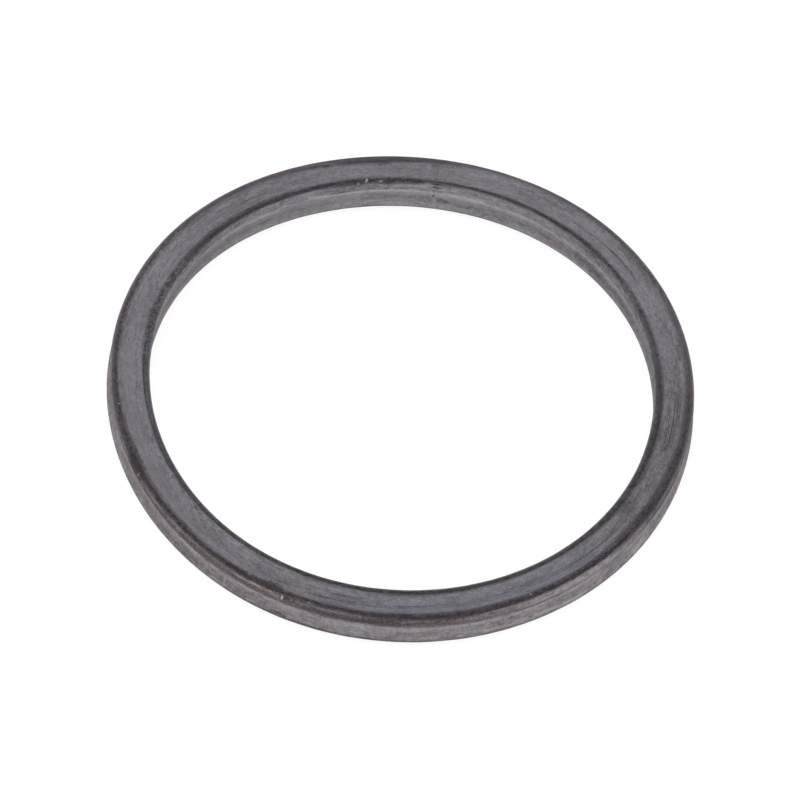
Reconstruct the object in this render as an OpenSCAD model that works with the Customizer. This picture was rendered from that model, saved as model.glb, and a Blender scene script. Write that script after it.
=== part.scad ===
// Quad ring: a moulded rubber ring with four rounded lobes, one at each corner of its section.
// Millimetres. The ring lies on its two lower lobes, with its origin on the axis, at its base.

/* [Ring] */
// Inside diameter, across the crests of the inner lobes
inside_d = 67; // [30:0.1:150]
// Section of the ring: its radial width, and its height across the lobes
section = 5.3; // [4.5:0.01:9]

/* [Lobes and valleys] */
// Radius of each of the four lobes
lobe_r = 0.9; // [0.6:0.01:1.1]
// Depth of each valley below the two lobes beside it
valley_depth = 0.5; // [0.2:0.01:0.7]

/* [Parting line] */
// Height of the parting line above the middle of the section
parting_rise = 0.75; // [0:0.01:1]
// How far the trimmed flash stands out from the floor of its valley
flash_out = 0.1; // [0.03:0.01:0.15]
// Thickness of the flash where it leaves the floor
flash_root = 0.2; // [0.1:0.01:0.3]

/* [Hidden] */
$fn = 180;
// From the axis of the ring to the middle of its section
middle_r = inside_d / 2 + section / 2;
// From the middle of the section to a lobe's centre, across and up alike
lobe_at = section / 2 - lobe_r;
// A valley's arc runs tangent into both of its lobes, and that sets its radius
valley_r = (pow(lobe_at, 2) + pow(valley_depth, 2)) / (2 * valley_depth) - lobe_r;
// From the middle of the section to the centre of a valley's arc
valley_at = section / 2 - valley_depth + valley_r;
// Slope of the surface where a valley runs into a lobe
join_angle = asin(lobe_at / (lobe_r + valley_r));
// Where the two arcs meet on the upper side: across and up from the middle of the section
join_across = lobe_at - lobe_r * sin(join_angle);
join_up = lobe_at + lobe_r * cos(join_angle);
// From the middle of the section to the valley's floor at the parting line
floor_at = valley_at - sqrt(pow(valley_r, 2) - pow(parting_rise, 2));

// The middle of the section: eight straight sides, from join to join
module core() {
    polygon([
        [join_across, join_up], [-join_across, join_up], [-join_up, join_across], [-join_up, -join_across],
        [-join_across, -join_up], [join_across, -join_up], [join_up, -join_across], [join_up, join_across]
    ]);
}

// Four lobes, one at each corner of the section
module lobes() {
    for (x = [-1, 1], y = [-1, 1])
        translate([x * lobe_at, y * lobe_at])
            circle(r = lobe_r);
}

// Four valleys, one in each side of the section
module valleys() {
    for (side = [0, 90, 180, 270])
        rotate(side)
            translate([valley_at, 0])
                circle(r = valley_r);
}

// Trimmed flash: a low sharp ridge along the parting line, on the inner and the outer wall
module flash() {
    edge = floor_at + flash_out;
    root = floor_at - flash_out;
    translate([0, parting_rise])
        polygon([
            [edge, 0], [root, flash_root], [-root, flash_root],
            [-edge, 0], [-root, -flash_root], [root, -flash_root]
        ]);
}

// Section of the ring, about its own middle
module ring_section() {
    lobes();
    difference() {
        core();
        valleys();
    }
    flash();
}

module quad_ring() {
    color("#58585c")
        translate([0, 0, section / 2])
            rotate_extrude()
                translate([middle_r, 0])
                    ring_section();
}

quad_ring();
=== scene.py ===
import math

import bpy
import numpy as np
from mathutils import Matrix, Vector


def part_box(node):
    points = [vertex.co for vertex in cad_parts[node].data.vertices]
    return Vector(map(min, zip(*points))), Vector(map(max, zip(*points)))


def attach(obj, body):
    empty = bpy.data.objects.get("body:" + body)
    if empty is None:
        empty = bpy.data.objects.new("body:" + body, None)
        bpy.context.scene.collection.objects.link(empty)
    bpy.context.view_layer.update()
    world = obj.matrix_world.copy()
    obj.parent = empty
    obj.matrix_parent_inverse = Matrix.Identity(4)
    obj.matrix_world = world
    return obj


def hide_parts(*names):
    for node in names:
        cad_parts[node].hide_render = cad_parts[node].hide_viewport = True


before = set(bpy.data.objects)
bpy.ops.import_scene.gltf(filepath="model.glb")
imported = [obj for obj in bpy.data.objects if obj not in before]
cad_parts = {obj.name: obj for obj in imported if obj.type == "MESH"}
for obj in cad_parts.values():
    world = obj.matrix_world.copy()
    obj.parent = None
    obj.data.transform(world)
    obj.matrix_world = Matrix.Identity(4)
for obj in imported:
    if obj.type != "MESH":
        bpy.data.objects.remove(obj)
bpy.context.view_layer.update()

# Quad ring: a used rubber seal with four rounded lobes, lying on a white table
# Lengths of the ring are in millimetres, as they are in the part's source
MM = 0.001
HIGH_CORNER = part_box("quad_ring")[1]
OUTER_R = HIGH_CORNER[0] / MM
SECTION = HIGH_CORNER[2] / MM
MIDDLE_R = OUTER_R - SECTION / 2
LOBE_R = 0.9
VALLEY_DEPTH = 0.5
PARTING_RISE = 0.75
FLASH_OUT = 0.1
FLASH_HALF = 0.1

# What follows from them: the centres of the arcs, and where two arcs run into each other
LOBE_AT = SECTION / 2 - LOBE_R
VALLEY_R = (LOBE_AT ** 2 + VALLEY_DEPTH ** 2) / (2 * VALLEY_DEPTH) - LOBE_R
VALLEY_AT = SECTION / 2 - VALLEY_DEPTH + VALLEY_R
JOIN = math.asin(LOBE_AT / (LOBE_R + VALLEY_R))
FOOT_ABOVE = math.asin((PARTING_RISE + FLASH_HALF) / VALLEY_R)
FOOT_BELOW = math.asin((PARTING_RISE - FLASH_HALF) / VALLEY_R)
FLASH_TIP = VALLEY_AT - math.sqrt(VALLEY_R ** 2 - PARTING_RISE ** 2) + FLASH_OUT

# A place on the section is given by the way to it: how far it is along the skin from the middle of the top,
# outwards positive and inwards negative, past the crest of a lobe and on to the middle of the bottom
HALF_LOBE = math.pi / 4 + JOIN
WAY_TO_CREST = LOBE_R * HALF_LOBE + VALLEY_R * JOIN
WAY_TO_BOTTOM = 4 * WAY_TO_CREST
WAY_ROUND = 2 * WAY_TO_BOTTOM

# Faces along each arc of the section, and round the ring
LOBE_STEPS = 22
LOWER_LOBE_STEPS = 14
TOP_STEPS = 22
BOTTOM_STEPS = 12
SHORT_FLANK_STEPS = 5
LONG_FLANK_STEPS = 18
ROUND_STEPS = 600
SAME_POINT = 1e-6

# How the slack ring lies: it is slightly three-cornered, and its section rolls slowly to and fro
# Each wave is (waves round the ring, cosine part, sine part), in millimetres and for the roll in radians
OUT_OF_ROUND = [(3, -0.058, 0.248), (4, -0.078, -0.078)]
ROLL_MEAN = -0.0147
ROLL_WAVES = [(1, 0, 0.0455), (2, -0.0655, 0), (3, 0.0174, -0.0281)]

# Unevenness of the moulded skin and of the trimmed flash: (size of its bumps, their height)
SKIN_BUMPS = (2.5, 0.05)
FLASH_BUMPS = (0.9, 0.12)
# The line that the mould left across the ring: its angle, half its width, the way from and to, its depth
MOULD_LINE_ANGLE = 87
MOULD_LINE_HALF = 0.3
MOULD_LINE_FROM = -7
MOULD_LINE_TO = 1.6
MOULD_LINE_DEPTH = 0.05

# The bands on the upper lobes where the grey bloom is rubbed off, at angles round the ring:
# (degrees, border towards the middle of the top, border towards the wall, how dark)
OUTER_BAND = [
    (-172, 1.68, 2.68, 0.8), (-153, 1.56, 2.7, 0.86), (-145, 1.6, 2.55, 0.84), (-128, 1.6, 2.5, 0.88),
    (-112, 1.65, 2.52, 0.92), (-98, 1.65, 2.47, 0.86), (-82, 1.62, 2.66, 0.93), (-74, 1.58, 2.68, 0.92),
    (-62, 1.48, 2.48, 0.88), (-47, 1.4, 2.4, 0.86), (-34, 1.27, 2.52, 0.84), (-22, 1.2, 2.45, 0.82),
    (-10, 1.42, 2.52, 0.8), (4, 1.5, 2.68, 0.72), (14, 1.7, 2.68, 0.64), (24, 1.5, 2.62, 0.6),
    (35, 1.62, 2.4, 0.56), (50, 1.46, 2.3, 0.54), (68, 1.75, 2.3, 0.4), (84.3, 1.4, 2.3, 0.44),
    (86.5, 1.34, 2.3, 0.64), (98, 1.17, 2.2, 0.7), (110, 1.25, 2.2, 0.58), (125, 1.26, 2.3, 0.48),
    (135, 1.34, 2.32, 0.5), (145, 1.48, 2.35, 0.5), (158, 1.46, 2.5, 0.57), (172, 1.68, 2.65, 0.68),
]
INNER_BAND = [
    (-172, 1.72, 2.7, 0.7), (-157, 1.74, 2.6, 0.76), (-145, 1.84, 2.5, 0.8), (-135, 1.7, 2.4, 0.82),
    (-116, 1.63, 2.37, 0.86), (-98, 1.58, 2.35, 0.86), (-84, 1.4, 2.25, 0.9), (-76, 1.42, 2.25, 0.9),
    (-66, 1.57, 2.3, 0.86), (-55, 1.68, 2.35, 0.86), (-47, 1.58, 2.4, 0.86), (-34, 1.37, 2.48, 0.9),
    (-24, 1.42, 2.52, 0.9), (-8, 1.42, 2.6, 0.88), (8, 1.43, 2.55, 0.76), (18, 1.48, 2.62, 0.66),
    (27, 1.5, 2.58, 0.62), (34, 1.5, 2.58, 0.52), (42, 1.56, 2.25, 0.6), (50, 1.65, 2.36, 0.66),
    (56, 1.78, 2.6, 0.74), (62, 1.88, 2.5, 0.72), (75, 2.07, 2.6, 0.62), (84, 2.12, 2.75, 0.6),
    (89, 2.05, 2.7, 0.6), (91, 2.02, 2.9, 0.74), (98, 2.02, 3.0, 0.8), (104, 2.06, 2.8, 0.8),
    (115, 2.02, 2.78, 0.76), (126, 1.75, 2.55, 0.76), (136, 1.37, 2.58, 0.76), (145, 1.34, 2.5, 0.72),
    (155, 1.28, 2.5, 0.63), (165, 1.22, 2.52, 0.68), (176, 1.38, 2.5, 0.67),
]
# Inner bands begin more sharply, and past the middle of the wall each lower lobe has one even band
INNER_SHARPNESS = 1.4
LOWER_BAND = (7.8, 8.7, 0.75)
LOWER_BAND_PAST = 5
# The nearly black line inside each upper band, where it is polished: (degrees, place, width, how dark)
OUTER_LINE = [
    (-178, 2.0, 0.3, 0.6), (-170, 2.1, 0.32, 0.75), (-163, 1.95, 0.3, 0.4), (-150, 2.1, 0.35, 0.6),
    (-138, 2.1, 0.4, 0.85), (-130, 2.05, 0.25, 0.45), (-122, 2.05, 0.42, 0.95), (-112, 2.15, 0.4, 1.0),
    (-104, 2.0, 0.3, 0.7), (-95, 2.1, 0.35, 0.8), (-80, 2.27, 0.42, 1.0), (-68, 2.24, 0.42, 1.0),
    (-45, 2.15, 0.38, 0.9), (-38, 2.05, 0.46, 0.95), (-26, 2.05, 0.48, 0.9), (-15, 2.15, 0.35, 0.6),
    (-3, 2.0, 0.35, 0.5), (7, 2.15, 0.16, 0.6), (15, 2.1, 0.16, 0.35), (25, 2.0, 0.2, 0.15),
    (35, 2.05, 0.22, 0.5), (50, 2.0, 0.25, 0.6), (65, 1.95, 0.22, 0.45), (80, 1.95, 0.2, 0.3),
    (90, 1.5, 0.35, 0.5), (100, 1.4, 0.4, 0.65), (110, 1.4, 0.3, 0.5), (120, 1.7, 0.35, 0.45),
    (140, 1.9, 0.4, 0.35), (160, 2.0, 0.4, 0.4), (170, 2.15, 0.4, 0.6),
]
INNER_LINE = [
    (-178, 1.83, 0.18, 0.85), (-160, 1.83, 0.24, 0.95), (-145, 1.83, 0.35, 0.8), (-130, 1.9, 0.35, 0.75),
    (-110, 1.95, 0.4, 0.75), (-85, 1.85, 0.45, 0.95), (-60, 1.88, 0.4, 0.75), (-45, 1.82, 0.36, 0.7),
    (-25, 1.82, 0.35, 0.6), (-5, 1.9, 0.4, 0.5), (5, 2.0, 0.35, 0.7), (15, 1.95, 0.3, 0.4),
    (25, 2.0, 0.4, 0.8), (30, 2.0, 0.35, 0.45), (34, 2.0, 0.3, 0.1), (37, 2.0, 0.3, 0.9),
    (41, 2.0, 0.35, 1.0), (46, 2.05, 0.25, 0.9), (57, 2.16, 0.46, 1.0), (66, 2.22, 0.36, 1.0),
    (80, 2.32, 0.32, 0.95), (88.6, 2.38, 0.28, 0.8), (89.8, 2.52, 0.44, 1.0), (100, 2.48, 0.42, 0.9),
    (110, 2.35, 0.5, 0.9), (125, 2.38, 0.42, 0.95), (135, 2.2, 0.4, 0.7), (142, 2.05, 0.5, 0.8),
    (152, 1.85, 0.35, 0.25), (168, 1.8, 0.3, 0.65), (175, 1.83, 0.2, 0.7),
]

# Strokes painted on the ring: (from degrees, to degrees, way, width, strength)
SCUFFS = [
    (1, -13, -0.4, 0.12, 0.6), (2, -12, 0.13, 0.12, 0.6), (-22, -31, -0.7, 0.3, 0.6),
    (-26, -33, -0.1, 0.3, 0.5), (-34, -54, 0.05, 0.22, 0.9), (-77, -87, 0.08, 0.18, 0.9),
    (-89, -105, 0.4, 0.2, 0.8), (-94, -101, -0.5, 0.3, 0.8), (-108, -113, 0.3, 0.25, 0.7),
    (56, 41, 0, 0.16, 0.8), (40, 33, 0, 0.4, 0.7), (4, -2, 0.5, 0.4, 0.8), (144, 120, -0.1, 0.4, 0.5),
    (-8, -40, 1.2, 0.5, 0.5), (-149, -155, 2.6, 0.6, 0.6), (-60, -130, 7.2, 0.5, 0.6),
    (60, 20, 1.2, 0.7, 0.1), (9, -12, 0.75, 0.5, 0.3), (-6, -34, -1.2, 0.5, 0.4), (52, 43, -2.7, 0.4, 0.5),
    (46, 36, -2.3, 0.4, 0.3), (112, 92, -2.9, 0.6, 0.6), (-110, -175, 3.3, 0.9, 0.4),
    (-15, -32, 3.1, 0.9, 0.5), (-72, -122, 3.2, 1.2, 0.45),
]
STAINS = [
    (-62, -180, 3.2, 1.2, 0.35), (-70, -122, 3.3, 1.3, 1.0), (-98, -158, 3.2, 1.2, 0.85),
    (-105, -113, 2.8, 0.6, 1.0), (170, 140, 2.1, 0.7, 0.4), (8, -32, 3.0, 1.2, 0.45),
    (160, 140, -2.4, 0.5, 0.4), (112, 105, -4.4, 0.5, 0.8), (140, 60, 2.2, 0.6, 0.5),
]
CHALK = [
    (-48, -53, 6.7, 0.5, 0.8), (92, 87.5, -3.25, 0.8, 0.4), (182, 150, -2.85, 0.5, 0.3),
    (130, 112, -2.95, 0.5, 0.2), (160, 140, -6.85, 0.5, 0.25), (-36, -64, 3.1, 1.1, 1.0),
    (-112, -118, 2.75, 0.3, 0.5),
]
# Broad washes of tone, given in the same way: dimmer, cooler and paler
DIM = [
    (20, -45, 0.0, 3.6, 1.0), (-97, -112, 0.3, 1.8, 0.8), (103, 89, -1.5, 0.5, 1.0),
    (80, 18, -6.2, 1.8, 1.0), (-140, -180, 5.6, 1.5, 0.3), (30, -190, 0.12, 0.6, 0.6),
    (-40, -130, 0.05, 0.9, 1.0), (152, 120, -0.95, 0.7, 1.0), (-76, -100, -1.35, 0.4, 0.9),
    (22, -8, -3.2, 1.4, 1.0), (-112, -146, -0.5, 1.2, 0.85), (-152, -188, -0.9, 1.1, 0.85),
    (-118, -132, 5.8, 1.4, 1.0), (-72, -102, 3.6, 0.6, 1.0), (4, -20, 0.9, 0.8, 0.9),
    (-85, -125, 3.3, 1.4, 0.6), (-138, -162, 3.0, 1.2, 0.8), (103, 88, -3.7, 1.0, 0.9),
    (112, 98, -7.0, 0.6, 1.0), (-110, -132, 6.2, 1.8, 0.4), (-139, -151, 2.9, 0.4, 0.8),
    (40, 29, -3.0, 1.0, 0.6), (-60, -71, 6.3, 0.8, 0.6), (-30, -41, 6.65, 0.6, 0.8),
    (-99, -111, 6.6, 0.5, 0.6),
]
COOL = [(-35, -105, 0.5, 2.0, 1.0), (118, 112, -1.0, 1.0, 0.7)]
PALE = [
    (215, 140, 0.4, 2.4, 0.9), (118, -2, -0.6, 2.2, 0.65), (-100, -125, 0.9, 1.0, 0.4),
    (185, 150, -3.2, 1.6, 1.0), (150, 100, -3.2, 1.2, 0.5), (172, 120, -6.1, 2.4, 1.0),
    (130, 86, -5.9, 1.8, 0.85), (-4, -40, 6.0, 2.2, 1.0), (-38, -60, 6.2, 2.0, 0.5),
    (-72, -98, 5.1, 0.5, 0.5), (-76, -118, 6.2, 2.0, 0.3), (-116, -158, 1.05, 0.8, 0.8),
    (-46, -80, -1.15, 0.5, 0.8), (-98, -124, -1.15, 0.5, 1.0), (56, 0, -1.25, 0.5, 0.8),
    (112, 70, -5.2, 0.9, 0.9), (100, 78, -4.75, 0.6, 0.9), (71, 51, -3.0, 0.8, 0.7),
    (131, 111, -3.05, 0.9, 1.0),
]
# Faint tints over the worn lobes: brown, plain grey and violet
BROWN = [
    (-100, -140, 2.15, 0.9, 1.0), (-118, -182, 2.3, 1.2, 0.5), (-152, -188, 2.9, 1.2, 0.5),
    (-50, -102, 2.25, 0.9, 0.4), (-6, -34, 2.2, 0.8, 0.3),
]
PLAIN = [(4, -148, -2.0, 1.2, 1.0)]
VIOLET = [
    (126, 88, 1.9, 1.5, 1.0), (148, 97, -3.4, 1.7, 0.9), (135, 96, -2.1, 0.9, 0.5),
    (-62, -98, 2.2, 1.0, 0.4),
]
# Where the grain is livelier, and where it is quieter, than elsewhere
LIVELY = [
    (184, 136, 1.85, 1.5, 0.9), (138, 62, 1.85, 1.5, 0.25), (64, 22, 1.85, 1.5, 0.8),
    (26, 2, 1.85, 1.5, 0.4), (184, 148, -1.85, 1.5, 1.0), (150, 86, -1.9, 1.5, 0.55),
    (88, 48, -1.85, 1.5, 0.4), (52, 20, -1.85, 1.5, 0.8), (24, -3, -1.85, 1.5, 0.3),
    (-35, -180, -2.1, 0.8, 0.6), (-15, -78, 6.4, 0.8, 0.8), (-115, -184, 1.6, 0.5, 0.8),
    (-104, -162, -1.45, 0.6, 1.0),
]
QUIET = [
    (-118, -190, 0.2, 1.7, 0.5), (-30, -75, 0.0, 0.6, 0.3), (78, 20, -3.4, 1.6, 0.4),
    (60, 38, 0.1, 0.5, 0.6),
]

# Small marks: (degrees, way, half length, half width, strength)
DARK_MARKS = [
    (-28.5, -0.55, 2.0, 0.4, 0.2), (45, -5.95, 3.6, 0.5, 0.3), (-155.5, 1.55, 1.3, 0.2, 0.6),
    (93, -5.75, 3.0, 0.25, 0.15), (-75, 2.75, 3.0, 0.2, 0.5), (-34, 0.2, 3.0, 0.2, 0.3),
    (-29, -1.1, 1.6, 0.3, 0.5), (-32, 1.1, 4, 0.5, 0.5), (-42, 0.15, 6, 0.07, 0.5),
    (-86.5, 0.06, 1.8, 0.08, 0.4), (-98.5, -0.5, 1.0, 0.25, 0.45), (-103, 0.4, 1.3, 0.28, 0.45),
    (-90.5, 3.2, 2.8, 0.6, 0.5), (-108.2, 2.72, 0.4, 0.42, 0.7), (-112, 1.5, 1.35, 0.5, 1.0),
    # The mark at -106 degrees and way 6.95 is a long thin line of painted shade along the lower outline at
    # the front
    (-116, 1.75, 3.0, 0.22, 0.5), (-106, 6.95, 8.5, 0.14, 0.7), (-109.3, 6.6, 1.0, 0.3, 0.6),
    (-151.2, 2.6, 1.7, 0.8, 0.8), (-152.5, 1.5, 2.6, 0.3, 0.6), (-152.8, 2.7, 0.7, 0.4, 0.5),
    (-131.5, 6.4, 1.6, 0.5, 0.35), (-138, 6.5, 1.7, 0.3, 0.3), (-134, 1.55, 1.3, 0.25, 0.6),
    (98.3, 1.1, 0.8, 0.32, 0.6), (110.5, 1.3, 0.4, 0.22, 0.7), (103, 1.35, 2.4, 0.1, 0.6),
    (97.5, -2.95, 0.7, 0.3, 0.7), (92, -2.85, 1.6, 0.18, 0.7), (104.5, -2.7, 0.8, 0.3, 0.6),
    (113.2, 1.45, 0.5, 0.2, 0.5), (84.6, -5.95, 1.0, 0.3, 0.55), (80, -6.2, 1.2, 0.2, 0.3),
    (109, -4.5, 1.3, 0.2, 0.6), (52.3, -0.15, 1.6, 0.08, 0.6), (41.5, 0.1, 2.3, 0.13, 0.6),
    (47.5, -2.33, 1.3, 0.14, 0.6), (45.2, -2.48, 1.2, 0.12, 0.5), (66.5, -2.4, 1.2, 0.15, 0.4),
    (-95, 3.6, 3.0, 0.3, 0.3), (87.7, 1.1, 0.42, 0.24, 0.5), (142, -2.1, 4.2, 0.3, 0.6),
    (130, -2.2, 2.4, 0.18, 0.8), (128, 0, 1.8, 0.1, 0.4),
]
# Thin straight lines: scuffs, and what the mould left across the ring
THIN_MARKS = [
    (-6, -0.43, 4.6, 0.06, 0.65), (-6.5, 0.13, 5.0, 0.07, 0.75), (-4.5, 0.55, 4.2, 0.06, 0.5),
    (-7.5, -0.17, 3.6, 0.045, 0.4), (-4, -0.7, 3.4, 0.06, 0.45), (-7, 0.34, 3.4, 0.05, 0.45),
    (-1, 0.85, 3.0, 0.05, 0.3), (86.9, -0.3, 0.1, 1.3, 0.3), (86.9, -1.95, 0.25, 0.18, 0.6),
    (86.6, -2.72, 0.75, 0.12, 0.95), (86.5, -3.2, 0.7, 0.12, 0.95), (86.5, -3.62, 0.3, 0.07, 0.5),
    (87.2, -4.25, 0.14, 0.16, 0.7), (87.1, -5.3, 0.14, 0.2, 0.7), (86.9, -4.8, 0.06, 0.5, 0.3),
]
PALE_MARKS = [
    (-149.3, 2.7, 0.07, 0.4, 0.45), (104.7, -2.82, 0.2, 0.18, 0.35), (102.7, -2.42, 0.2, 0.2, 0.6),
    (103, -2.65, 0.16, 0.14, 0.4), (99.4, -2.62, 0.24, 0.16, 0.4), (-116.9, 1.72, 0.2, 0.2, 0.22),
    (-109.7, 3.8, 0.07, 0.9, 0.3), (-103.8, 2.25, 0.14, 0.14, 0.22), (96.1, -3.6, 0.5, 0.12, 0.35),
    (93, -3.2, 2.8, 0.5, 0.12), (86.6, -6.0, 0.24, 0.17, 0.3), (-59.8, 1.85, 0.06, 0.2, 0.5),
    # The mark at -109 degrees and way 2.84 is a painted glint, a highlight given as a pale mark
    (-100.9, -0.05, 0.1, 0.1, 0.6), (-109, 2.84, 0.12, 0.3, 0.9), (-110.8, 2.9, 0.6, 0.14, 0.3),
    (-111.6, 2.62, 0.5, 0.1, 0.4), (-114.6, 2.64, 0.8, 0.12, 0.4), (-118.3, 2.76, 0.9, 0.12, 0.35),
    (-166.6, 2.0, 0.07, 0.22, 0.45), (-121.8, 5.7, 0.08, 0.7, 0.6), (-32.8, 6.4, 1.3, 0.4, 0.55),
    (-51, 6.6, 2.2, 0.22, 0.6), (-57, 6.5, 1.6, 0.18, 0.5), (-67.7, 6.5, 1.2, 0.15, 0.6),
    (-62, 6.4, 0.9, 0.17, 0.5), (-84, 5.4, 3.0, 0.25, 0.3),
]
RUST_MARKS = [
    (-78, 3.3, 3.4, 0.45, 0.6), (-108.5, 3.1, 0.7, 0.4, 0.8), (-113, 3.1, 2.4, 0.45, 0.75),
    (-127, 3.1, 5, 0.5, 0.45), (-152, 3.2, 1.2, 0.35, 0.5), (-146.3, 5.8, 1.5, 0.45, 0.4),
    (-81, 5.9, 0.5, 1.0, 0.4), (-19, 3.1, 4.5, 0.4, 0.4), (-151, 5.6, 2.5, 0.5, 0.3),
]

# Where the camera stands: its lengths in metres, and the lens in millimetres
CAMERA_ELEVATION = math.radians(52.6)
CAMERA_ROLL = math.radians(-5.6)
CAMERA_DISTANCE = 0.77694
CAMERA_LENS = 264.96
CAMERA_ASIDE = 0.00019
CAMERA_ABOVE = 0.00118

# The white table, and the light of the room and of one soft window, in metres and watts
TABLE_SIZE = 6
TABLE_WHITE = (0.8, 0.8, 0.8, 1)
TABLE_SHADOW = (0.15, 0.15, 0.15, 1)
TABLE_GLOW = 0.9
ROOM_LIGHT = 0.85
WINDOW_PLACE = (-0.3, -0.5, 1.0)
WINDOW_SIZE = 1.2
WINDOW_POWER = 3.3


def sum_of_waves(waves, angle):
    """How high the waves stand at each angle."""
    return sum(c * np.cos(n * angle) + s * np.sin(n * angle) for n, c, s in waves)


def slope_of_waves(waves, angle):
    """How steeply the waves rise at each angle."""
    return sum(n * (s * np.cos(n * angle) - c * np.sin(n * angle)) for n, c, s in waves)


# Drawing the section and turning it into a ring

def section_point(across, up):
    """A point of the section, from its own middle in millimetres, in the scene."""
    return Vector(((MIDDLE_R + across) * MM, 0, (SECTION / 2 + up) * MM))


def draw_arc(across, up, angle, steps):
    """Turns the last point about a centre of the section and leaves an arc behind it."""
    bpy.ops.mesh.spin(steps=steps, angle=angle, center=section_point(across, up), axis=(0, 1, 0))


def draw_line(start, end):
    """Draws on from the last point in a straight line."""
    step = section_point(*end) - section_point(*start)
    bpy.ops.mesh.extrude_vertices_move(TRANSFORM_OT_translate={"value": step})


def wall_point(side, angle):
    """A point of the outer (side 1) or inner (side -1) valley, at an angle above its middle."""
    return side * (VALLEY_AT - VALLEY_R * math.cos(angle)), VALLEY_R * math.sin(angle)


def draw_section():
    """Draws the outline of the section, counter-clockwise, from the outer parting line."""
    lobe_turn = 2 * HALF_LOBE
    outer_tip, inner_tip = (FLASH_TIP, PARTING_RISE), (-FLASH_TIP, PARTING_RISE)
    draw_line(outer_tip, wall_point(1, FOOT_ABOVE))
    draw_arc(VALLEY_AT, 0, -(JOIN - FOOT_ABOVE), SHORT_FLANK_STEPS)
    draw_arc(LOBE_AT, LOBE_AT, lobe_turn, LOBE_STEPS)
    draw_arc(0, VALLEY_AT, -2 * JOIN, TOP_STEPS)
    draw_arc(-LOBE_AT, LOBE_AT, lobe_turn, LOBE_STEPS)
    draw_arc(-VALLEY_AT, 0, -(JOIN - FOOT_ABOVE), SHORT_FLANK_STEPS)
    draw_line(wall_point(-1, FOOT_ABOVE), inner_tip)
    draw_line(inner_tip, wall_point(-1, FOOT_BELOW))
    draw_arc(-VALLEY_AT, 0, -(JOIN + FOOT_BELOW), LONG_FLANK_STEPS)
    draw_arc(-LOBE_AT, -LOBE_AT, lobe_turn, LOWER_LOBE_STEPS)
    draw_arc(0, -VALLEY_AT, -2 * JOIN, BOTTOM_STEPS)
    draw_arc(LOBE_AT, -LOBE_AT, lobe_turn, LOWER_LOBE_STEPS)
    draw_arc(VALLEY_AT, 0, -(JOIN + FOOT_BELOW), LONG_FLANK_STEPS)
    draw_line(wall_point(1, FOOT_BELOW), outer_tip)


def start_point():
    """A small circle at the outer parting line, of which only one point is kept."""
    bpy.ops.object.select_all(action="DESELECT")
    start = section_point(FLASH_TIP, PARTING_RISE)
    bpy.ops.mesh.primitive_circle_add(vertices=3, radius=MM, location=start)
    ring = bpy.context.object
    ring.name = ring.data.name = "seal_ring"
    bpy.ops.object.transform_apply(location=True, rotation=True, scale=True)
    bpy.ops.object.mode_set(mode="EDIT")
    bpy.ops.mesh.select_all(action="SELECT")
    bpy.ops.mesh.merge(type="CENTER")
    return ring


def turn_ring():
    """Draws the section and turns it once round the axis of the ring."""
    ring = start_point()
    draw_section()
    bpy.ops.mesh.select_all(action="SELECT")
    bpy.ops.mesh.remove_doubles(threshold=SAME_POINT)
    bpy.ops.object.mode_set(mode="OBJECT")
    turn = ring.modifiers.new("turn", "SCREW")
    turn.steps = turn.render_steps = ROUND_STEPS
    turn.use_merge_vertices = True
    turn.merge_threshold = SAME_POINT
    bpy.ops.object.modifier_apply(modifier=turn.name)
    bpy.ops.object.mode_set(mode="EDIT")
    bpy.ops.mesh.select_all(action="SELECT")
    bpy.ops.mesh.remove_doubles(threshold=SAME_POINT)
    bpy.ops.mesh.normals_make_consistent(inside=False)
    bpy.ops.object.mode_set(mode="OBJECT")
    bpy.ops.object.shade_smooth()
    return ring


# The ring's points as arrays: where each one is round the ring and on the section

def read_points(ring):
    """Each point's angle round the ring, and how far it is from the section's middle, across and up."""
    points = np.empty(len(ring.data.vertices) * 3)
    ring.data.vertices.foreach_get("co", points)
    x, y, z = points.reshape(-1, 3).T / MM
    return np.arctan2(y, x), np.hypot(x, y) - MIDDLE_R, z - SECTION / 2


def way_out(across, up):
    """The way along the skin to each point of the section."""
    a, b = np.abs(across), np.abs(up)
    wall = a > b
    far, near = np.where(wall, a, b), np.where(wall, b, a)
    on_lobe = np.arctan2(near - LOBE_AT, far - LOBE_AT)
    in_valley = np.arctan2(near, VALLEY_AT - far)
    from_crest = np.where(on_lobe > -JOIN, LOBE_R * (math.pi / 4 - on_lobe),
                          LOBE_R * HALF_LOBE + VALLEY_R * (JOIN - in_valley))
    way = WAY_TO_CREST + np.where(wall, from_crest, -from_crest)
    way = np.where(up < 0, WAY_TO_BOTTOM - way, way)
    return np.where(across < 0, -way, way)


def keep_vector(ring, name, *values):
    """Keeps three values with each point, for the material to read."""
    layer = ring.data.attributes.new(name, "FLOAT_VECTOR", "POINT")
    layer.data.foreach_set("vector", np.stack(values, 1).ravel())


def unwrap(ring, angle, way):
    """A UV map: once round the ring, and from the middle of the bottom over the top and back."""
    corners = np.empty(len(ring.data.loops), int)
    ring.data.loops.foreach_get("vertex_index", corners)
    u = (angle / (2 * math.pi) + 0.5)[corners].reshape(-1, 4)
    v = (way / WAY_ROUND + 0.5)[corners].reshape(-1, 4)
    # Every face has four corners, and one that crosses a seam keeps them side by side
    u[(u < 0.25) & (u.max(1, keepdims=True) > 0.75)] += 1
    v[(v > 0.75) & (v.min(1, keepdims=True) < 0.25)] -= 1
    layer = ring.data.uv_layers.new(name="round_the_ring")
    layer.data.foreach_set("uv", np.stack([u.ravel(), v.ravel()], 1).ravel())


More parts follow.
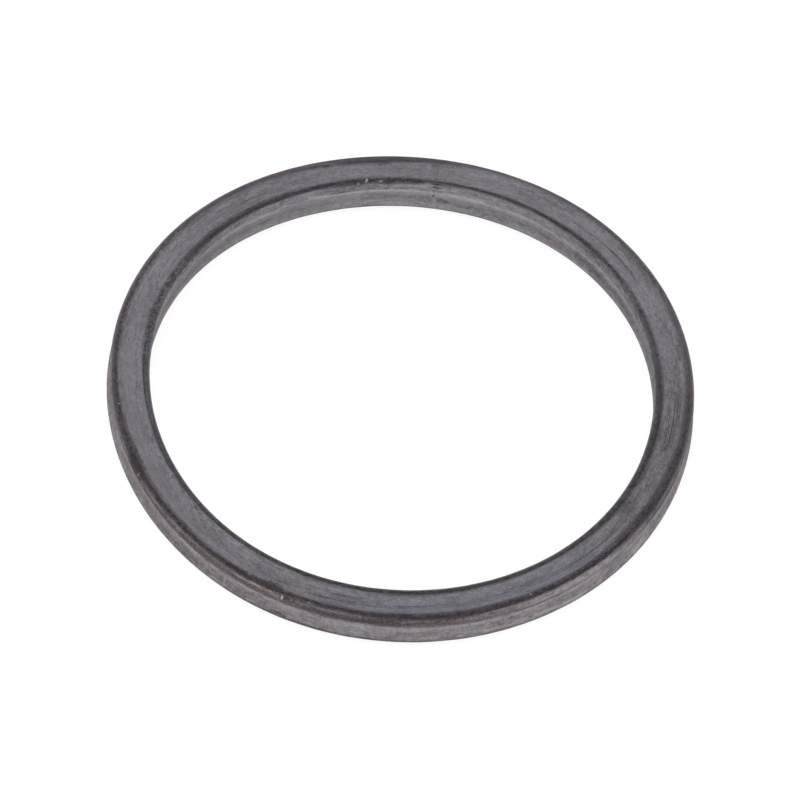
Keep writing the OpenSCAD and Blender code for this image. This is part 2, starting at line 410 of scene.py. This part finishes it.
def stroke(degrees, way, start, end, at, width, strength):
    """How strongly a stroke colours each point: most in its middle, fading to its ends and sides."""
    along = ((degrees - (start + end) / 2 + 180) % 360 - 180) / (abs(end - start) / 2)
    across = (way - at) / (width / 2)
    return strength * np.clip(1 - along ** 4, 0, 1) * np.exp(-across ** 2)


def paint(degrees, way, strokes):
    """How strong the strongest stroke of a table is at each point."""
    return np.max([stroke(degrees, way, *s) for s in strokes], axis=0)


def follow(degrees, table):
    """The columns of a table of angles, at each point's own angle round the ring."""
    at, *columns = np.array(sorted(table)).T
    return [np.interp(degrees, at, column, period=360) for column in columns]


def bands(degrees, way):
    """How far inside the near and the far border of its band each point is, and how dark that band is."""
    upper = np.where(way > 0, follow(degrees, OUTER_BAND), follow(degrees, INNER_BAND))
    near, far, dark = np.where(abs(way) > LOWER_BAND_PAST, np.array(LOWER_BAND)[:, None], upper)
    sharpness = np.where(way > 0, 1.0, INNER_SHARPNESS)
    return (abs(way) - near) * sharpness, far - abs(way), dark


def black_lines(degrees, way):
    """How far inside the black line each point is, how dark that line is, and how lively its grain is."""
    place, width, dark = np.where(way > 0, follow(degrees, OUTER_LINE), follow(degrees, INNER_LINE))
    lively = paint(degrees, way, LIVELY) - paint(degrees, way, QUIET)
    return width / 2 - abs(abs(way) - place), dark, lively


def mark_up(ring):
    """Keeps with each point its place on the section, the bands and black lines, and what is painted."""
    angle, across, up = read_points(ring)
    way = way_out(across, up)
    degrees = np.degrees(angle)
    unwrap(ring, angle, way)
    keep_vector(ring, "rubbed", *bands(degrees, way))
    keep_vector(ring, "polished", *black_lines(degrees, way))
    keep_vector(ring, "section_place", across, up, way)
    keep_vector(ring, "strokes", *(paint(degrees, way, s) for s in (SCUFFS, STAINS, CHALK)))
    keep_vector(ring, "washes", *(paint(degrees, way, s) for s in (DIM, COOL, PALE)))
    keep_vector(ring, "tints", *(paint(degrees, way, s) for s in (BROWN, PLAIN, VIOLET)))


# Making the ring uneven, and laying it down

def press_mould_line(ring, angle, way):
    """Presses in the line that the mould left across the ring."""
    away = abs(np.degrees(angle) - MOULD_LINE_ANGLE) * math.radians(1) * MIDDLE_R
    pressed = (away < MOULD_LINE_HALF) & (way < MOULD_LINE_TO) & (way > MOULD_LINE_FROM)
    bpy.ops.object.mode_set(mode="EDIT")
    bpy.ops.mesh.select_all(action="DESELECT")
    bpy.ops.object.mode_set(mode="OBJECT")
    ring.data.vertices.foreach_set("select", pressed)
    bpy.ops.object.mode_set(mode="EDIT")
    bpy.ops.transform.shrink_fatten(value=-MOULD_LINE_DEPTH * MM)
    bpy.ops.object.mode_set(mode="OBJECT")


def uneven(ring, name, bumps, group=""):
    """Gives the surface, or one vertex group of it, low irregular bumps."""
    size, height = bumps
    texture = bpy.data.textures.new(name, "CLOUDS")
    texture.noise_scale = size * MM
    modifier = ring.modifiers.new(name, "DISPLACE")
    modifier.texture = texture
    modifier.texture_coords = "LOCAL"
    modifier.strength = height * MM
    modifier.vertex_group = group
    bpy.ops.object.modifier_apply(modifier=modifier.name)


def roughen(ring):
    """Presses in the line of the mould, makes the skin slightly uneven, and leaves the flash ragged."""
    angle, across, up = read_points(ring)
    flash = ring.vertex_groups.new(name="flash")
    tip = (abs(up - PARTING_RISE) < FLASH_HALF / 2) & (abs(across) < LOBE_AT + LOBE_R)
    flash.add(np.flatnonzero(tip).tolist(), 1, "REPLACE")
    press_mould_line(ring, angle, way_out(across, up))
    uneven(ring, "skin", SKIN_BUMPS)
    uneven(ring, "flash", FLASH_BUMPS, "flash")


def lay_down(ring):
    """Lays the ring down, out of round and with its section rolled, and gives the height of its middle."""
    angle, across, up = read_points(ring)
    roll = ROLL_MEAN + sum_of_waves(ROLL_WAVES, angle)
    radius = MIDDLE_R + sum_of_waves(OUT_OF_ROUND, angle)
    lean = -slope_of_waves(OUT_OF_ROUND, angle) / radius
    out = (across * np.cos(roll) + up * np.sin(roll)) / np.hypot(1, lean)
    rise = up * np.cos(roll) - across * np.sin(roll)
    x = radius * np.cos(angle) + out * (np.cos(angle) - lean * np.sin(angle))
    y = radius * np.sin(angle) + out * (np.sin(angle) + lean * np.cos(angle))
    points = np.stack([x, y, rise - rise.min()], 1) * MM
    ring.data.vertices.foreach_set("co", points.ravel())
    ring.data.update()
    return -rise.min() * MM


# Building materials from nodes

class Nodes:
    """Adds nodes to one material or group. A value is a number, a colour or another node's output."""

    def __init__(self, tree):
        self.tree = tree

    def feed(self, socket, value):
        if isinstance(value, bpy.types.NodeSocket):
            self.tree.links.new(value, socket)
        else:
            socket.default_value = value

    def add(self, kind, values=None, **settings):
        node = self.tree.nodes.new("ShaderNode" + kind)
        for name, value in settings.items():
            setattr(node, name, value)
        for name, value in (values or {}).items():
            self.feed(node.inputs[name], value)
        return node

    def math(self, operation, *values, clamp=False):
        node = self.add("Math", dict(enumerate(values)), operation=operation, use_clamp=clamp)
        return node.outputs[0]

    def vector(self, operation, *values, output="Vector", **named):
        values = {**dict(enumerate(values)), **named}
        return self.add("VectorMath", values, operation=operation).outputs[output]

    def step(self, value, low, high, start=0.0, end=1.0):
        """Turns smoothly from start to end as the value goes from low to high."""
        values = {"Value": value, "From Min": low, "From Max": high, "To Min": start, "To Max": end}
        return self.add("MapRange", values, interpolation_type="SMOOTHSTEP").outputs["Result"]

    def mix(self, mask, under, over, blend="MIX"):
        """Mixes two colours: sockets 0, 6 and 7 take the factor and the colours, output 2 is the mix."""
        node = self.add("Mix", data_type="RGBA", blend_type=blend)
        for socket, value in zip([node.inputs[0], node.inputs[6], node.inputs[7]], [mask, under, over]):
            self.feed(socket, value)
        return node.outputs[2]

    def multiply(self, mask, base, shade):
        """Multiplies the colours by a shade, where the mask shows."""
        return self.mix(mask, base, self.mix(1.0, base, shade, "MULTIPLY"))

    def ramp(self, value, stops):
        node = self.add("ValToRGB", {"Fac": value})
        elements = node.color_ramp.elements
        while len(elements) < len(stops):
            elements.new(0.5)
        for element, (place, shade) in zip(elements, stops):
            element.position, element.color = place, shade
        return node.outputs["Color"]

    def separate(self, vector):
        return self.add("SeparateXYZ", {0: vector}).outputs

    def kept(self, name):
        """The three values that are kept with each point under a name."""
        return self.separate(self.add("Attribute", attribute_name=name).outputs["Vector"])

    def from_axis(self):
        """The level direction from the ring's axis to the place that is shaded."""
        level = self.vector("MULTIPLY", self.add("TexCoord").outputs["Object"], (1, 1, 0))
        return self.vector("NORMALIZE", level)

    def group(self, group, **values):
        node = self.add("Group", node_tree=group)
        for name, value in values.items():
            self.feed(node.inputs[name.title()], value)
        return node.outputs


def new_group(name, inputs, output):
    """A node group with numbers as its named inputs and output, and its first nodes."""
    tree = bpy.data.node_groups.new(name, "ShaderNodeTree")
    for socket, start in inputs.items():
        given = tree.interface.new_socket(socket, in_out="INPUT", socket_type="NodeSocketFloat")
        given.default_value = start
    tree.interface.new_socket(output, in_out="OUTPUT", socket_type="NodeSocketFloat")
    first, last = tree.nodes.new("NodeGroupInput"), tree.nodes.new("NodeGroupOutput")
    return Nodes(tree), first.outputs, last.inputs[output]


def grain_group():
    """Grain that runs along the ring: longer along it than it is wide, and without a seam."""
    inputs = {"Length": 1, "Width": 1, "Detail": 2, "Shift": 0}
    n, given, out = new_group("Grain along the ring", inputs, "Grain")
    turns = n.math("DIVIDE", MIDDLE_R, given["Length"])
    around = n.separate(n.vector("SCALE", n.from_axis(), Scale=turns))
    place = n.kept("section_place")
    across = n.math("DIVIDE", place["X"], given["Width"])
    up = n.math("ADD", n.math("DIVIDE", place["Y"], given["Width"]), given["Shift"])
    where = n.add("CombineXYZ", {"X": around["X"], "Y": around["Y"], "Z": across}).outputs[0]
    values = {"Vector": where, "W": up, "Scale": 1, "Detail": given["Detail"], "Roughness": GRAIN_CRISPNESS}
    n.feed(out, n.add("TexNoise", values, noise_dimensions="4D").outputs[0])
    return n.tree


def mark_group():
    """A small mark at one place of the ring, with a soft and ragged outline."""
    inputs = {"Angle": 0, "Way": 0, "Length": 0.2, "Width": 0.2, "Wobble": 0}
    n, given, out = new_group("Mark", inputs, "Mask")
    turn = n.math("RADIANS", given["Angle"])
    target = n.add("CombineXYZ", {"X": n.math("COSINE", turn), "Y": n.math("SINE", turn)}).outputs[0]
    apart = n.vector("DISTANCE", n.from_axis(), target, output="Value")
    along = n.math("DIVIDE", n.math("MULTIPLY", apart, MIDDLE_R), given["Length"])
    aside = n.math("SUBTRACT", n.kept("section_place")["Z"], given["Way"])
    across = n.math("DIVIDE", aside, given["Width"])
    reach = n.math("SQRT", n.math("ADD", n.math("POWER", along, 2), n.math("POWER", across, 2)))
    n.feed(out, n.step(n.math("ADD", reach, given["Wobble"]), *MARK_EDGE))
    return n.tree


# The rubber
# The sheen adds a little of the white room everywhere, so the colours are written without it
SHEEN = 0.022
DARKEST = 0.003


def under_sheen(red, green, blue):
    """A colour as a picture shows it, from 0 to 255, in a material's linear values, without the sheen."""
    linear = (((v / 255 + 0.055) / 1.055) ** 2.4 for v in (red, green, blue))
    return tuple(max(v - SHEEN, DARKEST) for v in linear) + (1,)


# How light the rubber is along the section: the grey of the bloom, with painted light that makes each wall
# lighter below the parting line and brightest just under it, and painted shade that darkens each wall
# towards the bottom: (way, grey from 0 to 255)
BLOOM_AND_PAINTED_LIGHT_OUTWARDS = [
    (0, 117), (1.1, 118), (2.0, 111), (2.7, 115), (3.9, 115), (4.4, 116), (4.65, 146), (5.0, 155),
    (5.4, 134), (6.1, 126), (6.7, 132), (7.1, 120), (7.6, 107), (8.7, 101), (10.2, 109),
]
BLOOM_AND_PAINTED_LIGHT_INWARDS = [
    (1.2, 120), (2.0, 112), (2.9, 121), (3.5, 133), (4.1, 141), (4.4, 155), (4.7, 168), (5.0, 153),
    (5.35, 133), (6.0, 120), (6.5, 131), (6.9, 143), (7.3, 131), (7.6, 113), (8.7, 101),
]
# What the bloom's tint adds to those greys, red and blue, on the top and on the two walls
TOP_EDGE = 1.6
TOP_TINT = (2.5, 6)
OUTER_TINT = (5.5, 4.5)
INNER_TINT = (3.5, 5)
# What the broad washes multiply the colours by: dimmer, cooler and paler, then brown, plain grey and violet
TONES = [(0.84, 0.84, 0.84, 1), (0.96, 0.99, 1.05, 1), (1.12, 1.12, 1.12, 1)]
TINTS = [(1.09, 0.99, 0.89, 1), (1.0, 1.02, 0.95, 1), (1.04, 0.95, 1.02, 1)]
# The two faint tints that the bloom drifts between: (what multiplies its colours, where the grain shows it)
DRIFTS = [((1.05, 0.98, 0.99, 1), (0.5, 0.68)), ((0.97, 1.0, 1.02, 1), (0.5, 0.32))]

# Colours of the worn rubber, each in two shades that drift into each other, and of what is painted on it
WORN_COLOURS = under_sheen(47, 43, 47), under_sheen(49, 40, 55)
POLISHED_COLOURS = under_sheen(48, 40, 45), under_sheen(49, 38, 52)
SCUFF_COLOUR = under_sheen(66, 62, 66)
STAIN_COLOUR = under_sheen(83, 73, 73)
SPECK_COLOUR = under_sheen(58, 50, 54)
CHALK_COLOUR = under_sheen(160, 154, 158)
RUST_MARK_COLOUR = under_sheen(113, 95, 88)
DARK_MARK_COLOUR = under_sheen(60, 53, 56)
THIN_MARK_COLOUR = under_sheen(60, 52, 57)
PALE_MARK_COLOUR = under_sheen(180, 171, 172)

# Grain of several sizes: (length along the ring, width, detail). Its place in this list shifts each one
GRAINS = {
    "fine": (0.26, 0.2, 3), "dash": (1.0, 0.15, 2), "mottle": (0.9, 0.5, 3), "cloud": (5, 1.6, 2),
    "tint": (2.2, 0.8, 3), "streak": (6, 0.16, 2), "wander": (2.6, 0.9, 3), "drip": (0.3, 1.1, 2),
    "grit": (0.46, 0.36, 3),
}
GRAIN_SHIFT = 4
GRAIN_CRISPNESS = 0.6
# A grain runs from 0 to 1 about its middle, and nearly all of it lies between these two values
GRAIN_MIDDLE = 0.5
GRAIN_SPREAD = (0.36, 0.64)
# How much each grain lightens and darkens, as a share of the tone
SWAY = {"fine": 0.17, "dash": 0.13, "mottle": 0.12, "cloud": 0.10, "drip": 0.3, "grit": 0.46}

# How strong the bloom's grain is along the section: (way from, way to, strength there, strength beyond)
FINE_GRAIN = (4.2, 4.8, 1.0, 0.6)
DRIP_GRAIN = (2.3, 2.8, 0, 0.35)
LOBE_GRAIN = (2.3, 3.0, 1.0, 1.4)
GRAIN_CHANGES = [(-2.2, -3.0, 0, 0.3), (-4.0, -4.8, 0, -0.8), (4.2, 4.8, 0, -0.2)]
# What a dim wash, a pale wash and livelier grain add to that strength
DIM_GRAIN, PALE_GRAIN, LIVELY_GRAIN = 0.3, -0.2, 0.7

# Which values of a grain show, and how strongly: (starts at, full at, least, most)
SCUFF_STREAKS = (0.52, 0.64)
SCUFF_SMUDGES = (0.34, 0.52)
STAIN_PATCHES = (0.36, 0.62, 0.2, 0.8)
STAIN_SPECKS = (0.56, 0.42)
STAIN_DRIPS = (0.4, 0.6)
CHALK_PATCHES = (0.36, 0.62, 0.3, 1)
BAND_PATCHES = {
    "mottle": (0.39, 0.6, 0.74, 1.12), "fine": (0.4, 0.58, 0.68, 1.12), "streak": (0.4, 0.6, 1.08, 0.88),
}
BAND_SPECKS = (0.94, 1.14)
LINE_PATCHES = (0.36, 0.6, 0.7, 1.05)
RUST_SPECKS = (0.42, 0.6)
DARK_SPECKS = (0.36, 0.6, 1.0, 0.7)
# How strongly streaks show in a scuff and elsewhere, and smudges in a scuff
SCUFF_STRENGTH, STREAK_STRENGTH, SMUDGE_STRENGTH = 0.9, 0.22, 0.75
# Where the grain is lively, its bare specks take this much off a band, and the rest of it gains this much
BARE_SPECKS, LIVELY_GAIN = -0.45, 0.14

# How far each grain moves the borders of the bands to and fro, and how softly those borders fade
RAGGED = {"wander": 0.4, "streak": 0.7, "dash": 0.5, "fine": 0.4}
NEAR_BORDER = (-0.3, 0.35)
FAR_BORDER, FAR_RAGGED = (-0.14, 0.16), 0.7
LINE_BORDER, LINE_RAGGED = (-0.09, 0.11), 0.45
# A small mark fades between these shares of its size, and grain makes its outline wobble
MARK_EDGE = (1.5, 0.5)
MARK_WOBBLE = 3
THIN_WOBBLE = 0.4

# Relief of the fine grain, of worn places and of scuffs, and how glossy and how rough the skin is
GRAIN_HEIGHT = 0.02
WORN_DEPTH = 0.012
SCUFF_DEPTH = 0.012
GLOSS = 0.35
BLOOM_ROUGHNESS = 0.68
WORN_ROUGHNESS = 0.58


def bloom(way, grey, wall_tint):
    """The colour at one place of the section: the bloom's grey with its painted light and shade, and the
    bloom's tint.
    """
    red, blue = TOP_TINT if way < TOP_EDGE else wall_tint
    return under_sheen(grey + red, grey, grey + blue)


def section_colours(n):
    """The colours round the section, from the middle of the bottom over the inner side to the outer one,
    with the painted light and shade of the two walls.
    """
    v = n.separate(n.add("UVMap", uv_map="round_the_ring").outputs[0])["Y"]
    stops = [(0.5 - way / WAY_ROUND, bloom(way, grey, INNER_TINT)) for way, grey in reversed(BLOOM_AND_PAINTED_LIGHT_INWARDS)]
    stops += [(0.5 + way / WAY_ROUND, bloom(way, grey, OUTER_TINT)) for way, grey in BLOOM_AND_PAINTED_LIGHT_OUTWARDS]
    return n.ramp(v, stops)


def wash(n, base, washes, shades):
    """Three broad washes over the colours, each of which multiplies them by its own shade."""
    for axis, shade in zip("XYZ", shades):
        base = n.multiply(washes[axis], base, shade)
    return base


def all_grains(n):
    """Every size of grain, each from its own part of the noise."""
    along = grain_group()
    return {name: n.group(along, length=length, width=width, detail=detail, shift=GRAIN_SHIFT * i)["Grain"]
            for i, (name, (length, width, detail)) in enumerate(GRAINS.items())}


def sway(n, grain, name):
    """A grain's light and dark, as a share to add or take away."""
    return n.step(grain[name], *GRAIN_SPREAD, -SWAY[name], SWAY[name])


def grain_strength(n, way, stained, washes):
    """How strong the bloom's grain is: it changes along the section, and with the stains and washes."""
    strength = n.step(n.math("ABSOLUTE", way), *LOBE_GRAIN)
    for change in GRAIN_CHANGES:
        strength = n.math("ADD", strength, n.step(way, *change))
    strength = n.math("MULTIPLY_ADD", washes["X"], DIM_GRAIN, n.math("ADD", stained, strength))
    livelier = n.math("MULTIPLY_ADD", n.kept("polished")["Z"], LIVELY_GRAIN, 1.0)
    strength = n.math("MULTIPLY", strength, livelier)
    return n.math("MULTIPLY_ADD", washes["Z"], PALE_GRAIN, strength)


def vary(n, base, grain, stained, washes):
    """Light and dark grain over the bloom, with a faint drift of tint."""
    way = n.kept("section_place")["Z"]
    level = n.math("MULTIPLY", sway(n, grain, "fine"), n.step(way, *FINE_GRAIN))
    level = n.math("ADD", level, sway(n, grain, "dash"))
    level = n.math("ADD", level, n.math("ADD", sway(n, grain, "mottle"), sway(n, grain, "cloud")))
    level = n.math("MULTIPLY", level, grain_strength(n, way, stained, washes))
    dripping = n.math("MAXIMUM", stained, n.step(way, *DRIP_GRAIN))
    level = n.math("ADD", level, n.math("MULTIPLY", sway(n, grain, "drip"), dripping))
    level = n.math("ADD", level, 1.0)
    grey = n.add("CombineColor", dict.fromkeys(("Red", "Green", "Blue"), level)).outputs[0]
    base = n.mix(1.0, base, grey, "MULTIPLY")
    for shade, shows in DRIFTS:
        base = n.multiply(n.step(grain["tint"], *shows), base, shade)
    return base


def scuffs(n, grain, scuffed):
    """Thin dark streaks, faint everywhere and strong in a scuff, where they run together into smudges."""
    strength = n.math("MULTIPLY_ADD", scuffed, SCUFF_STRENGTH, STREAK_STRENGTH)
    streaks = n.math("MULTIPLY", n.step(grain["streak"], *SCUFF_STREAKS), strength)
    strength = n.math("MULTIPLY", scuffed, SMUDGE_STRENGTH)
    smudges = n.math("MULTIPLY", n.step(grain["mottle"], *SCUFF_SMUDGES), strength)
    return n.math("MAXIMUM", streaks, smudges)


def stain(n, base, grain, stained, chalky):
    """Brown stains with dark specks in them, and a chalky film."""
    patches = n.math("MULTIPLY", stained, n.step(grain["mottle"], *STAIN_PATCHES))
    base = n.mix(patches, base, STAIN_COLOUR)
    specks = n.math("MULTIPLY", stained, n.step(grain["fine"], *STAIN_SPECKS))
    specks = n.math("MULTIPLY", specks, n.step(grain["drip"], *STAIN_DRIPS))
    base = n.mix(specks, base, SPECK_COLOUR)
    film = n.math("MULTIPLY", chalky, n.step(grain["mottle"], *CHALK_PATCHES))
    return n.mix(film, base, CHALK_COLOUR)


def ragged_border(n, grain):
    """How far the borders of the bands wander to and fro."""
    ragged = 0.0
    for name, amount in RAGGED.items():
        ragged = n.math("MULTIPLY_ADD", n.math("SUBTRACT", grain[name], GRAIN_MIDDLE), amount, ragged)
    return ragged


def patchiness(n, grain, lively):
    """How unevenly the bands are rubbed bare, with bare specks and grit where the grain is lively."""
    patchy = 1.0
    for name, shows in BAND_PATCHES.items():
        patchy = n.math("MULTIPLY", patchy, n.step(grain[name], *shows))
    specks = n.step(n.math("ADD", grain["fine"], grain["mottle"]), *BAND_SPECKS)
    gain = n.math("MULTIPLY_ADD", lively, LIVELY_GAIN, 1.0)
    speckled = n.math("MULTIPLY_ADD", n.math("MULTIPLY", specks, lively), BARE_SPECKS, gain)
    patchy = n.math("MULTIPLY", patchy, speckled)
    return n.math("MULTIPLY_ADD", lively, sway(n, grain, "grit"), patchy)


def wear(n, base, grain):
    """Rubs the lobes bare in bands with a black line in each, and also gives how worn each place is."""
    rubbed, polished = n.kept("rubbed"), n.kept("polished")
    ragged = ragged_border(n, grain)
    patchy = patchiness(n, grain, n.math("MAXIMUM", polished["Z"], 0.0))
    violet = n.step(grain["tint"], *GRAIN_SPREAD)

    worn = n.math("MULTIPLY", n.step(n.math("ADD", rubbed["X"], ragged), *NEAR_BORDER), rubbed["Z"])
    before_wall = n.step(n.math("MULTIPLY_ADD", ragged, FAR_RAGGED, rubbed["Y"]), *FAR_BORDER)
    worn = n.math("MULTIPLY", worn, before_wall)
    worn = n.math("MULTIPLY", worn, patchy, clamp=True)
    base = n.mix(worn, base, n.mix(violet, *WORN_COLOURS))

    black = n.step(n.math("MULTIPLY_ADD", ragged, LINE_RAGGED, polished["X"]), *LINE_BORDER)
    cloudy = n.math("MULTIPLY", polished["Y"], n.step(grain["cloud"], *LINE_PATCHES))
    black = n.math("MULTIPLY", black, cloudy, clamp=True)
    black = n.math("MULTIPLY", black, patchy, clamp=True)
    return n.mix(black, base, n.mix(violet, *POLISHED_COLOURS)), worn


def marks(n, base, group, places, wobble, shade, cover=1.0):
    """Adds every mark of a table in one colour."""
    for angle, way, length, width, strength in places:
        mask = n.group(group, angle=angle, way=way, length=length, width=width, wobble=wobble)["Mask"]
        base = n.mix(n.math("MULTIPLY", mask, n.math("MULTIPLY", cover, strength)), base, shade)
    return base


def small_marks(n, base, grain):
    """The single marks: rusty, dark, thin and pale ones."""
    mark = mark_group()
    wobble = n.math("MULTIPLY", n.math("SUBTRACT", grain["fine"], GRAIN_MIDDLE), MARK_WOBBLE)
    thin_wobble = n.math("MULTIPLY", wobble, THIN_WOBBLE)
    rusty, dark = n.step(grain["fine"], *RUST_SPECKS), n.step(grain["fine"], *DARK_SPECKS)
    base = marks(n, base, mark, RUST_MARKS, wobble, RUST_MARK_COLOUR, rusty)
    base = marks(n, base, mark, DARK_MARKS, wobble, DARK_MARK_COLOUR, dark)
    base = marks(n, base, mark, THIN_MARKS, thin_wobble, THIN_MARK_COLOUR)
    return marks(n, base, mark, PALE_MARKS, wobble, PALE_MARK_COLOUR)


def finish_skin(n, base, grain, worn, scuffed):
    """Gives the shader its colour, its fine relief, and a skin that is less rough where it is worn."""
    height = n.math("MULTIPLY_ADD", grain["fine"], GRAIN_HEIGHT, n.math("MULTIPLY", worn, -WORN_DEPTH))
    height = n.math("MULTIPLY_ADD", scuffed, -SCUFF_DEPTH, height)
    bump = n.add("Bump", {"Height": height, "Distance": MM, "Strength": 1.0})
    skin = n.tree.nodes["Principled BSDF"].inputs
    skin["Specular IOR Level"].default_value = GLOSS
    n.feed(skin["Base Color"], base)
    n.feed(skin["Roughness"], n.step(worn, 0, 1, BLOOM_ROUGHNESS, WORN_ROUGHNESS))
    n.feed(skin["Normal"], bump.outputs[0])


def rubber():
    """Old nitrile rubber: a grey bloom in the valleys, painted light and shade on the walls, bare dark
    lobes, streaks, scuffs and stains.
    """
    material = bpy.data.materials.new("rubber")
    material.use_nodes = True
    n = Nodes(material.node_tree)
    grain = all_grains(n)
    strokes, washes = n.kept("strokes"), n.kept("washes")
    base = wash(n, section_colours(n), washes, TONES)
    base = vary(n, base, grain, strokes["Y"], washes)
    scuffed = scuffs(n, grain, strokes["X"])
    base = n.mix(scuffed, base, SCUFF_COLOUR)
    base = stain(n, base, grain, strokes["Y"], strokes["Z"])
    base, worn = wear(n, base, grain)
    base = wash(n, base, n.kept("tints"), TINTS)
    base = small_marks(n, base, grain)
    finish_skin(n, base, grain, worn, scuffed)
    return material


# The stage, the lamps and the camera

def seen_directly(n):
    """1 for what the camera sees, also in a reflection or through glass, and 0 for what lights the ring."""
    path = n.add("LightPath").outputs
    seen = n.math("MAXIMUM", path["Is Camera Ray"], path["Is Glossy Ray"])
    return n.math("MAXIMUM", seen, path["Is Transmission Ray"])


def white_table():
    """A plain white table, a little brighter to the camera, that keeps the ring's shadow."""
    material = bpy.data.materials.new("white_table")
    material.use_nodes = True
    n = Nodes(material.node_tree)
    n.tree.nodes.clear()
    plain = n.add("BsdfDiffuse", {"Color": TABLE_WHITE})
    shaded = n.add("BsdfDiffuse", {"Color": TABLE_SHADOW})
    glow = n.add("Emission", {"Strength": TABLE_GLOW})
    bright = n.add("AddShader", {0: shaded.outputs[0], 1: glow.outputs[0]})
    table = n.add("MixShader", {0: seen_directly(n), 1: plain.outputs[0], 2: bright.outputs[0]})
    n.add("OutputMaterial", {"Surface": table.outputs[0]})
    return material


def build_table():
    """The table under the ring, which isn't part of the object."""
    bpy.ops.object.select_all(action="DESELECT")
    bpy.ops.mesh.primitive_plane_add(size=TABLE_SIZE, location=(0, 0, 0))
    table = bpy.context.object
    table.name = "table"
    table.data.materials.append(white_table())


def light_room():
    """An evenly lit white room, which the camera sees as white."""
    world = bpy.data.worlds.new("white_room")
    bpy.context.scene.world = world
    world.use_nodes = True
    n = Nodes(world.node_tree)
    n.tree.nodes.clear()
    strength = n.step(seen_directly(n), 0, 1, ROOM_LIGHT, 1)
    room = n.add("Background", {"Color": (1, 1, 1, 1), "Strength": strength})
    n.add("OutputWorld", {"Surface": room.outputs[0]})


def hang_window():
    """A large soft lamp, turned towards the ring."""
    bpy.ops.object.light_add(type="AREA", location=WINDOW_PLACE)
    lamp = bpy.context.object
    lamp.name = lamp.data.name = "window"
    lamp.data.size = WINDOW_SIZE
    lamp.data.energy = WINDOW_POWER
    lamp.rotation_euler = (-Vector(WINDOW_PLACE)).to_track_quat("-Z", "Y").to_euler()


def stand_camera(middle_height):
    """Stands the camera where the photograph was taken from."""
    e, r = CAMERA_ELEVATION, CAMERA_ROLL
    back = Vector((0, -math.cos(e), math.sin(e)))
    level_right, level_up = Vector((1, 0, 0)), Vector((0, math.sin(e), math.cos(e)))
    right = math.cos(r) * level_right - math.sin(r) * level_up
    up = math.sin(r) * level_right + math.cos(r) * level_up
    middle = Vector((0, 0, middle_height))
    place = middle + back * CAMERA_DISTANCE - right * CAMERA_ASIDE - up * CAMERA_ABOVE
    bpy.ops.object.camera_add(location=place)
    camera = bpy.context.object
    camera.name = "camera"
    camera.rotation_euler = Matrix((right, up, back)).transposed().to_euler()
    camera.data.lens = CAMERA_LENS
    bpy.context.scene.camera = camera


ring = turn_ring()
mark_up(ring)
roughen(ring)
middle_height = lay_down(ring)
ring.data.materials.append(rubber())
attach(ring, "root")
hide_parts("quad_ring")

build_table()
light_room()
hang_window()
stand_camera(middle_height)
bpy.context.scene.view_settings.view_transform = "Standard"
